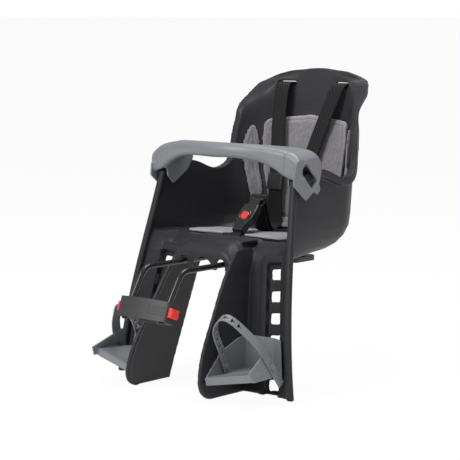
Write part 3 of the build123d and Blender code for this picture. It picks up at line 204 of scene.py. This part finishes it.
def woven_webbing(name, dark, light):
    """Woven polyester webbing: dull diagonal ribs of black yarn, finely uneven."""
    material, tree = new_material(name)
    along = add(tree, "ShaderNodeUVMap", uv_map="band")
    # The real ribs are 1.2 mm apart and are drawn at 4.6 mm to show
    slanted = add(tree, "ShaderNodeMapping", {"Vector": along.outputs["UV"],
                                              "Rotation": (0, 0, BAND_RIB_SLANT)})
    ribs = add(tree, "ShaderNodeTexWave", {"Vector": slanted.outputs["Vector"],
                                           "Scale": 2 * pi / (WAVE_FACTOR * BAND_RIB * MM),
                                           "Distortion": 0.4, "Detail": 1.0})
    yarn = add(tree, "ShaderNodeTexNoise", {"Vector": along.outputs["UV"], "Scale": 1 / (0.8 * MM),
                                            "Detail": 2.0})
    shade = add(tree, "ShaderNodeMath", {0: ribs.outputs["Fac"], 1: yarn.outputs["Fac"]},
                operation="MULTIPLY")
    colour = add(tree, "ShaderNodeMix", {0: shade.outputs[0], 6: linear(dark), 7: linear(light)},
                 data_type="RGBA")
    bump = add(tree, "ShaderNodeBump", {"Height": shade.outputs[0], "Strength": 0.9, "Distance": 0.6 * MM})
    shader = add(tree, "ShaderNodeBsdfPrincipled", {
        "Base Color": colour.outputs[2], "Normal": bump.outputs["Normal"], "Roughness": 0.8,
        "Specular IOR Level": 0.3})
    add(tree, "ShaderNodeOutputMaterial", {"Surface": shader.outputs["BSDF"]})
    return material


webbing = woven_webbing("woven polyester webbing black", "#060607", "#313134")

FINISH = {
    "shell_plastic": shell_plastic, "felt": felt, "grey_plastic": grey_plastic, "grey_rubber": grey_rubber,
    "webbing": webbing, "black_plastic": black_plastic, "red_plastic": red_plastic, "rod_steel": powder_coat,
    "zinc_steel": zinc_plate, "block_plastic": block_plastic,
}
for node, place in frame["nodes"].items():
    place.data.materials.clear()
    place.data.materials.append(FINISH[SLOT_OF[node]])


# Pieces
WELD = 0.00001
EASE_FACTOR = 0.5


def link(name, mesh):
    """A new object at the origin that shows a mesh."""
    piece = bpy.data.objects.new(name, mesh)
    bpy.context.scene.collection.objects.link(piece)
    return piece


def stand_for(piece, node):
    """Gives a piece the finish and body of the node that it replaces."""
    dress(piece, FINISH[SLOT_OF[node]], BODY_OF[node])
    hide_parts(node)


def dress(piece, material, body):
    """Smooth faces, a finish and a body to ride on."""
    piece.data.materials.clear()
    piece.data.materials.append(material)
    piece.data.shade_smooth()
    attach(piece, body)


def mesh_of(shape, name):
    """The mesh of a finished shape, which is then let go."""
    mesh = bpy.data.meshes.new(name)
    shape.to_mesh(mesh)
    shape.free()
    return mesh


def welded_copy(node):
    """A copy of a node's mesh with its loose triangles joined."""
    shape = bmesh.new()
    shape.from_mesh(frame["nodes"][node].data)
    bmesh.ops.remove_doubles(shape, verts=shape.verts, dist=WELD)
    return mesh_of(shape, node)


def bake_modifiers(piece):
    """Makes a piece's modifiers part of its mesh."""
    bpy.context.view_layer.update()
    mesh = bpy.data.meshes.new_from_object(piece.evaluated_get(bpy.context.evaluated_depsgraph_get()))
    piece.modifiers.clear()
    piece.data = mesh


def push_in(mesh, depth_of):
    """Moves vertices inwards by a depth in millimetres; all normals are read before any vertex moves."""
    moves = [vertex.normal * depth_of(vertex) * MM for vertex in mesh.vertices]
    for vertex, move in zip(mesh.vertices, moves):
        vertex.co -= move


def even_mesh(piece, voxel):
    """An even mesh of the same form."""
    even = piece.modifiers.new("even mesh", "REMESH")
    even.mode = "VOXEL"
    even.voxel_size = voxel * MM


def ease(piece, passes, group=""):
    """Eases the edges of a piece, or of a group of its vertices."""
    soft = piece.modifiers.new("eased edges", "SMOOTH")
    soft.factor = EASE_FACTOR
    soft.iterations = passes
    soft.vertex_group = group


def ease_part(piece, passes, share_of):
    """Eases a piece where a share above nothing is given."""
    piece.vertex_groups.clear()
    group = piece.vertex_groups.new(name="eased")
    for vertex in piece.data.vertices:
        share = share_of(vertex.co / MM)
        if share > 0:
            group.add([vertex.index], share, "REPLACE")
    ease(piece, passes, group.name)
    bake_modifiers(piece)


def fewer_faces(piece, most):
    """Thins a mesh of four-sided faces to at most so many triangles."""
    count = 2 * len(piece.data.polygons)
    if count > most:
        fewer = piece.modifiers.new("fewer faces", "DECIMATE")
        fewer.ratio = most / count
        bake_modifiers(piece)


def moulded_copy(node, voxel, passes, most, carve=None, finish=None):
    """A node's form with its sharp edges eased as a mould leaves them, in at most so many triangles."""
    piece = link(node + "_moulded", welded_copy(node))
    even_mesh(piece, voxel)
    ease(piece, passes)
    bake_modifiers(piece)
    if finish:
        finish(piece)
    if carve:
        push_in(piece.data, carve)
    fewer_faces(piece, most)
    stand_for(piece, node)


def ramp(value, low, high):
    """Soft step from 0 at one value to 1 at another."""
    share = min(1.0, max(0.0, (value - low) / (high - low)))
    return share * share * (3 - 2 * share)


def hump(value, middle, width):
    """Smooth hump of height 1."""
    return exp(-((value - middle) / width) ** 2)


BAR_SEAM = 141.0
BAR_SEAM_WIDTH = 1.0
BAR_SEAM_DEPTH = 0.9


def bar_seam(vertex):
    """Depth of the joint between the grip and the ends of the safety bar."""
    return BAR_SEAM_DEPTH * hump(abs(vertex.co.x) / MM, BAR_SEAM, BAR_SEAM_WIDTH)


# Rounding of the hood's top: smoothing passes, and the ranges in millimetres over which it fades
HOOD_EASE_PASSES = 40
HOOD_LOW = (78.0, 90.0)
HOOD_HIGH = (110.0, 114.0)
HOOD_REAR = (225.0, 245.0)
HOOD_SIDE = (98.0, 112.0)
CROTCH_SLOT_FROM = 190.0
CROTCH_SLOT_SIDE = (18.0, 30.0)


def hood_share(place):
    """Where the top of the hood is rounded: not on the rims, and not round the crotch strap's slot."""
    side = abs(place.x)
    clear = ramp(side, *CROTCH_SLOT_SIDE) if place.y > CROTCH_SLOT_FROM else 1.0
    height = ramp(place.z, *HOOD_LOW) * (1 - ramp(place.z, *HOOD_HIGH))
    return height * (1 - ramp(place.y, *HOOD_REAR)) * (1 - ramp(side, *HOOD_SIDE)) * clear


# Shoulders of the backrest: how far their edge moves, and the heights and half widths that shape it
SHOULDER_OUT = 22.5
SHOULDER_TOP_LOSS = 0.35
SHOULDER_FORWARD = 16.0
SHOULDER_FORWARD_AT = (326.0, 22.0)
SHOULDER_BACK = 11.0
SHOULDER_BACK_AT = (373.0, 8.0)
SHOULDER_LOW = 294.0
SHOULDER_WIDEST = 352.0
SHOULDER_TURN = 366.0
SHELL_TOP = 388.0
INNER_SIDE = 84.0
INNER_TURN = 369.0
INNER_DROP = 54.0
EDGE_HALF_WIDTH = 140.0
EDGE_NARROWS = 34.0
EDGE_TOP_NARROWS = 58.0
SHOULDER_EASE_PASSES = 10
SHOULDER_EASE_HEIGHT = (300.0, 315.0)
SHOULDER_EASE_SIDE = (88.0, 100.0)


def shoulder_flare(place):
    """Flare of the edge beside the head, in millimetres: fullest at the edge, none at the belt slots."""
    inner = INNER_SIDE - INNER_DROP * ramp(place.z, INNER_TURN, SHELL_TOP)
    outer = EDGE_HALF_WIDTH - EDGE_NARROWS * ramp(place.z, SHOULDER_LOW, SHOULDER_TURN)
    outer -= EDGE_TOP_NARROWS * ramp(place.z, SHOULDER_TURN, SHELL_TOP)
    rise = ramp(place.z, SHOULDER_LOW, SHOULDER_WIDEST)
    out = SHOULDER_OUT * (rise - SHOULDER_TOP_LOSS * ramp(place.z, SHOULDER_WIDEST, SHELL_TOP))
    back = SHOULDER_BACK * hump(place.z, *SHOULDER_BACK_AT)
    back -= SHOULDER_FORWARD * hump(place.z, *SHOULDER_FORWARD_AT)
    return Vector((out if place.x > 0 else -out, back, 0)) * ramp(abs(place.x), inner, outer)


def shoulder_share(place):
    """Where the flared shoulders are eased."""
    return ramp(place.z, *SHOULDER_EASE_HEIGHT) * ramp(abs(place.x), *SHOULDER_EASE_SIDE)


def finish_shell(piece):
    """Rounds the hood further, and gives the backrest the full shoulders of the photograph."""
    ease_part(piece, HOOD_EASE_PASSES, hood_share)
    for vertex in piece.data.vertices:
        vertex.co += shoulder_flare(vertex.co / MM) * MM
    ease_part(piece, SHOULDER_EASE_PASSES, shoulder_share)


# Moulded pieces: voxel, smoothing passes and most triangles.
# The block stays as its solid, so that its buttons and latches keep their room.
moulded_copy("seat_shell", 1.6, 3, 190000, finish=finish_shell)
moulded_copy("safety_bar", 1.0, 8, 90000, bar_seam)
moulded_copy("clamp_jaw", 0.8, 5, 30000)
moulded_copy("rod_plate", 1.0, 4, 30000)
moulded_copy("buckle_body", 0.5, 6, 50000)
moulded_copy("webbing_keepers", 0.6, 5, 30000)
for side in ("left", "right"):
    moulded_copy("footrest_" + side, 1.0, 4, 50000)
    moulded_copy("foot_strap_" + side, 0.6, 3, 40000)
    moulded_copy("strap_adjuster_" + side, 0.5, 6, 20000)
    moulded_copy("buckle_tongue_" + side, 0.4, 4, 20000)
    moulded_copy("release_button_" + side, 0.4, 4, 20000)


# Pads: foam in felt, swollen by a cloth simulation from a slightly smaller start
PAD_VOXEL = 2.2
PAD_EASE_PASSES = 5
PAD_LEVELS = 1
PAD_TRIANGLES = 60000
PAD_RESTS = 2.4
PAD_SMALLER = 1.2
PAD_CAP = 2.4
PAD_PRESSURE = 4.0
PAD_FRAMES = 14
PAD_SEAM_PLACE = 8.5
PAD_SEAM_WIDTH = 1.6
PAD_SEAM_DEPTH = 1.0
PAD_EDGE_SHARE = 0.55

shape = bmesh.new()
shape.from_mesh(frame["nodes"]["seat_shell"].data)
shell_tree = BVHTree.FromBMesh(shape)
shape.free()


def above_shell(place):
    """Distance of a point from the shell, in millimetres."""
    return shell_tree.find_nearest(place)[3] / MM


def swell(piece):
    """Blows the pad up a little inside its felt, while its back stays on the shell."""
    resting = piece.vertex_groups.new(name="resting")
    for vertex in piece.data.vertices:
        if above_shell(vertex.co) < PAD_RESTS:
            resting.add([vertex.index], 1.0, "REPLACE")
    start = [vertex.co.copy() for vertex in piece.data.vertices]
    cloth = piece.modifiers.new("felt", "CLOTH")
    cloth.settings.vertex_group_mass = resting.name
    cloth.settings.use_pressure = True
    cloth.settings.uniform_pressure_force = PAD_PRESSURE
    cloth.settings.effector_weights.gravity = 0.0
    for number in range(1, PAD_FRAMES + 1):
        bpy.context.scene.frame_set(number)
    bake_modifiers(piece)
    bpy.context.scene.frame_set(1)
    for vertex, first in zip(piece.data.vertices, start):
        moved = vertex.co - first
        if moved.length > PAD_CAP * MM:
            vertex.co = first + moved.normalized() * PAD_CAP * MM


def press_seam(piece, thickness):
    """Presses a sewn line along the edge of a pad, and marks how far the painted highlight pales the felt
    near that edge.
    """
    heights = [above_shell(vertex.co) for vertex in piece.data.vertices]
    rim = [vertex.co for vertex, height in zip(piece.data.vertices, heights)
           if PAD_RESTS < height < PAD_EDGE_SHARE * thickness]
    edge = KDTree(len(rim))
    for index, place in enumerate(rim):
        edge.insert(place, index)
    edge.balance()
    inwards = [edge.find(vertex.co)[2] / MM for vertex in piece.data.vertices]

    def seam_depth(vertex):
        """Depth of the sewn line at a vertex of the pad's face."""
        if heights[vertex.index] < PAD_EDGE_SHARE * thickness:
            return 0.0
        return PAD_SEAM_DEPTH * hump(inwards[vertex.index], PAD_SEAM_PLACE, PAD_SEAM_WIDTH)

    push_in(piece.data, seam_depth)
    # Painted highlight: a share that is full at the pad's edge and fades out at the sewn line
    edge_highlight = piece.data.attributes.new("edge_highlight", "FLOAT", "POINT")
    edge_highlight.data.foreach_set("value", [max(0.0, 1 - distance / PAD_SEAM_PLACE) for distance in inwards])


def felt_pad(node, thickness):
    """One pad in the place of its solid."""
    piece = link(node + "_felt", welded_copy(node))
    even_mesh(piece, PAD_VOXEL)
    ease(piece, PAD_EASE_PASSES)
    bake_modifiers(piece)
    push_in(piece.data, lambda vertex: PAD_SMALLER * ramp(above_shell(vertex.co), PAD_RESTS, thickness))
    swell(piece)
    finer = piece.modifiers.new("finer", "SUBSURF")
    finer.levels = PAD_LEVELS
    finer.render_levels = PAD_LEVELS
    bake_modifiers(piece)
    press_seam(piece, thickness)
    fewer_faces(piece, PAD_TRIANGLES)
    stand_for(piece, node)


BACK_PAD_THICKNESS = 8.0
SEAT_PAD_THICKNESS = 6.0
felt_pad("centre_back_pad", BACK_PAD_THICKNESS)
felt_pad("side_pad_left", BACK_PAD_THICKNESS)
felt_pad("side_pad_right", BACK_PAD_THICKNESS)
felt_pad("seat_pad", SEAT_PAD_THICKNESS)


# Webbing: routes in millimetres, as in the solids but about 2 mm higher in the belt slots
BAND_WIDTH = 30.0
CROTCH_BAND_WIDTH = 20.0
BAND_THICKNESS = 1.8
BAND_LEVELS = 3
STRAP_BEHIND = [
    (64, 451, 322), (64, 455, 346), (64, 456, 357), (64, 452, 365), (64, 444, 367), (64, 436, 366.5)]
STRAP_LEFT = STRAP_BEHIND + [
    (63, 430, 363), (60, 426, 354), (40, 411, 290), (18, 393, 212), (18, 383.5, 160), (18, 381, 122),
    (18, 378, 111), (18, 370, 104.5), (18, 356, 103.5), (0, 312, 107.4), (0, 304, 111), (0, 299, 118),
    (0, 290, 138), (0, 286.7, 161.8), (0, 278.9, 169.9)]
STRAP_RIGHT = STRAP_BEHIND + [
    (64, 430, 363), (64, 426, 354), (62, 411, 290), (48, 393, 212), (48, 383.5, 160), (41, 381, 122),
    (41, 378, 111), (41, 370, 104.5), (41, 356, 101.4), (0, 300, 106.4), (0, 292, 111), (0, 288, 120),
    (0, 284, 138), (0, 279.5, 154.9), (0, 275.1, 159.5)]
CROTCH_STRAP = [(0, 216, 68.3), (0, 216, 98.3), (0, 216, 106.3), (0, 225, 112), (0, 230.8, 117.6)]


def webbing_band(node, route, width, side=1):
    """Flat woven band along a route, its width across the seat."""
    points = [Vector((side * x, y, z)) * MM for x, y, z in route]
    half = Vector((width / 2 * MM, 0, 0))
    shape = bmesh.new()
    layer = shape.loops.layers.uv.new("band")
    ends = [shape.verts.new(points[0] - half), shape.verts.new(points[0] + half)]
    edge = shape.edges.new(ends)
    length = 0.0
    where = {ends[0]: (0.0, 0.0), ends[1]: (width * MM, 0.0)}
    for before, after in zip(points, points[1:]):
        made = bmesh.ops.extrude_edge_only(shape, edges=[edge])["geom"]
        fresh = [item for item in made if isinstance(item, bmesh.types.BMVert)]
        bmesh.ops.translate(shape, verts=fresh, vec=after - before)
        length += (after - before).length
        for vertex in fresh:
            where[vertex] = (width * MM if vertex.co.x > after.x else 0.0, length)
        edge = shape.edges.get(fresh)
    for face in shape.faces:
        for loop in face.loops:
            loop[layer].uv = where[loop.vert]
    piece = link(node + "_woven", mesh_of(shape, node))
    smooth = piece.modifiers.new("laid smooth", "SUBSURF")
    smooth.levels = BAND_LEVELS
    smooth.render_levels = BAND_LEVELS
    thick = piece.modifiers.new("thickness", "SOLIDIFY")
    thick.thickness = BAND_THICKNESS * MM
    thick.offset = 0.0
    stand_for(piece, node)


webbing_band("harness_strap_left", STRAP_LEFT, BAND_WIDTH)
webbing_band("harness_strap_right", STRAP_RIGHT, BAND_WIDTH, -1)
webbing_band("crotch_strap", CROTCH_STRAP, CROTCH_BAND_WIDTH)


# Buckle: a domed button in a raised ring, turned in the plane of the buckle's face
BUTTON_CENTRE = Vector((0, 243.876, 139.959)) * MM
BUCKLE_LEAN = radians(46)
BUTTON_PROFILE = [(0, -1.8), (8.2, -1.8), (8.2, 0.6), (7.9, 1.2), (7.0, 1.5), (5, 1.2), (0, 0.9)]
RING_PROFILE = [(9.2, -0.6), (9.2, 0.7), (9.7, 1.8), (11.4, 1.8), (12.8, 1.0), (13.2, -0.6)]
TURN_STEPS = 48

buckle_face = Matrix((
    (1, 0, 0, BUTTON_CENTRE.x),
    (0, sin(BUCKLE_LEAN), -cos(BUCKLE_LEAN), BUTTON_CENTRE.y),
    (0, cos(BUCKLE_LEAN), sin(BUCKLE_LEAN), BUTTON_CENTRE.z),
    (0, 0, 0, 1)))


def turned(name, profile, closed):
    """A round piece turned about the button's axis."""
    shape = bmesh.new()
    ring = [shape.verts.new((radius * MM, 0, height * MM)) for radius, height in profile]
    edges = [shape.edges.new(pair) for pair in zip(ring, ring[1:])]
    if closed:
        edges.append(shape.edges.new((ring[-1], ring[0])))
    bmesh.ops.spin(shape, geom=ring + edges, cent=(0, 0, 0), axis=(0, 0, 1), angle=2 * pi, steps=TURN_STEPS,
                   use_merge=True)
    bmesh.ops.remove_doubles(shape, verts=shape.verts, dist=WELD)
    bmesh.ops.recalc_face_normals(shape, faces=shape.faces)
    bmesh.ops.transform(shape, matrix=buckle_face, verts=shape.verts)
    return link(name, mesh_of(shape, name))


stand_for(turned("buckle_button_dome", BUTTON_PROFILE, False), "buckle_button")
dress(turned("buckle_ring", RING_PROFILE, True), black_plastic, "seat")


# Grip dots on the front of the block
DOT_COLUMNS = 8
DOT_ROWS = 4
DOT_STEP = 4.2
DOT_START = 19.0
DOT_RADIUS = 1.1
DOT_HEIGHT = 0.7
DOT_FINENESS = 2
BLOCK_TILT = radians(20)
BLOCK_FRONT = 28.0
BLOCK_FRONT_END = 19.0
BLOCK_HALF_WIDTH = 55.0

bow = BLOCK_FRONT - BLOCK_FRONT_END
front_radius = (BLOCK_HALF_WIDTH ** 2 + bow ** 2) / (2 * bow)
shape = bmesh.new()
for column in range(DOT_COLUMNS):
    for row in range(DOT_ROWS):
        x = DOT_START + DOT_STEP * column
        y = front_radius - BLOCK_FRONT - sqrt(front_radius ** 2 - x ** 2)
        z = DOT_STEP * (row - (DOT_ROWS - 1) / 2)
        dot = bmesh.ops.create_icosphere(shape, subdivisions=DOT_FINENESS, radius=DOT_RADIUS * MM)["verts"]
        bmesh.ops.scale(shape, vec=(1, DOT_HEIGHT / DOT_RADIUS, 1), verts=dot)
        bmesh.ops.translate(shape, vec=Vector((x, y, z)) * MM, verts=dot)
bmesh.ops.rotate(shape, cent=(0, 0, 0), matrix=Matrix.Rotation(-BLOCK_TILT, 3, "X"), verts=shape.verts)
dress(link("block_grip_dots", mesh_of(shape, "block_grip_dots")), block_plastic, "block")


# Dotted band in the backrest, over the top of the centre pad
ARC_ROWS = 5
ARC_COLUMNS = 39
ARC_STEP = 4.5
ARC_START = 318.0
ARC_BOW = 14.0
ARC_DOT = 0.9
ARC_FROM = 250.0

shape = bmesh.new()
for row in range(ARC_ROWS):
    for column in range(ARC_COLUMNS):
        middle = (ARC_COLUMNS - 1) / 2
        x = ARC_STEP * (column - middle)
        z = ARC_START + ARC_STEP * row - ARC_BOW * ((column - middle) / middle) ** 2
        place = shell_tree.ray_cast(Vector((x, ARC_FROM, z)) * MM, Vector((0, 1, 0)))[0]
        dot = bmesh.ops.create_icosphere(shape, subdivisions=DOT_FINENESS, radius=ARC_DOT * MM)["verts"]
        bmesh.ops.translate(shape, vec=place, verts=dot)
dress(link("backrest_dots", mesh_of(shape, "backrest_dots")), shell_plastic, "seat")


# Floor, world and lamps: sizes in metres, power in watts
FLOOR_GAP = 0.004
FLOOR_SIZE = 600.0
WHITE_SHARE = 0.95

material, tree = new_material("white studio floor")
path = add(tree, "ShaderNodeLightPath")
seen = add(tree, "ShaderNodeMath", {0: path.outputs["Is Camera Ray"], 1: path.outputs["Is Glossy Ray"]},
           operation="MAXIMUM")
seen = add(tree, "ShaderNodeMath", {0: seen.outputs[0], 1: path.outputs["Is Transmission Ray"]},
           operation="MAXIMUM")
share = add(tree, "ShaderNodeMath", {0: seen.outputs[0], 1: WHITE_SHARE}, operation="MULTIPLY")
matt = add(tree, "ShaderNodeBsdfDiffuse", {"Color": linear("#f4f4f4")})
glow = add(tree, "ShaderNodeEmission", {"Color": linear("#ffffff"), "Strength": 1.0})
mixed = add(tree, "ShaderNodeMixShader", {0: share.outputs[0], 1: matt.outputs[0], 2: glow.outputs[0]})
add(tree, "ShaderNodeOutputMaterial", {"Surface": mixed.outputs[0]})

shape = bmesh.new()
bmesh.ops.create_grid(shape, x_segments=1, y_segments=1, size=FLOOR_SIZE / 2)
bmesh.ops.translate(shape, verts=shape.verts, vec=(0, 0, cad_low.z - FLOOR_GAP))
floor_mesh = mesh_of(shape, "floor")
floor_mesh.materials.append(material)
link("floor", floor_mesh)

world = bpy.data.worlds.new("studio")
bpy.context.scene.world = world
world.use_nodes = True
tree = world.node_tree
tree.nodes.clear()
path = add(tree, "ShaderNodeLightPath")
seen = add(tree, "ShaderNodeMath", {0: path.outputs["Is Camera Ray"], 1: path.outputs["Is Transmission Ray"]},
           operation="MAXIMUM")
soft = add(tree, "ShaderNodeBackground", {"Color": linear("#ffffff"), "Strength": 0.3})
white = add(tree, "ShaderNodeBackground", {"Color": linear("#ffffff"), "Strength": 1.0})
mixed = add(tree, "ShaderNodeMixShader", {0: seen.outputs[0], 1: soft.outputs[0], 2: white.outputs[0]})
add(tree, "ShaderNodeOutputWorld", {"Surface": mixed.outputs[0]})


def lamp(name, place, aim, size, power):
    """A square soft lamp aimed at a point."""
    light = bpy.data.lights.new(name, "AREA")
    light.size = size
    light.energy = power
    lit = bpy.data.objects.new(name, light)
    lit.location = place
    lit.rotation_mode = "QUATERNION"
    lit.rotation_quaternion = (Vector(aim) - Vector(place)).to_track_quat("-Z", "Y")
    bpy.context.scene.collection.objects.link(lit)


SEAT_MIDDLE = (0, 0.2, 0.12)
lamp("key lamp", (-0.6, -2.2, 1.9), SEAT_MIDDLE, 1.2, 64)
lamp("fill lamp", (2.4, -0.6, 1.0), SEAT_MIDDLE, 1.6, 6)
lamp("top lamp", (0.2, 0.6, 2.4), SEAT_MIDDLE, 1.4, 52)
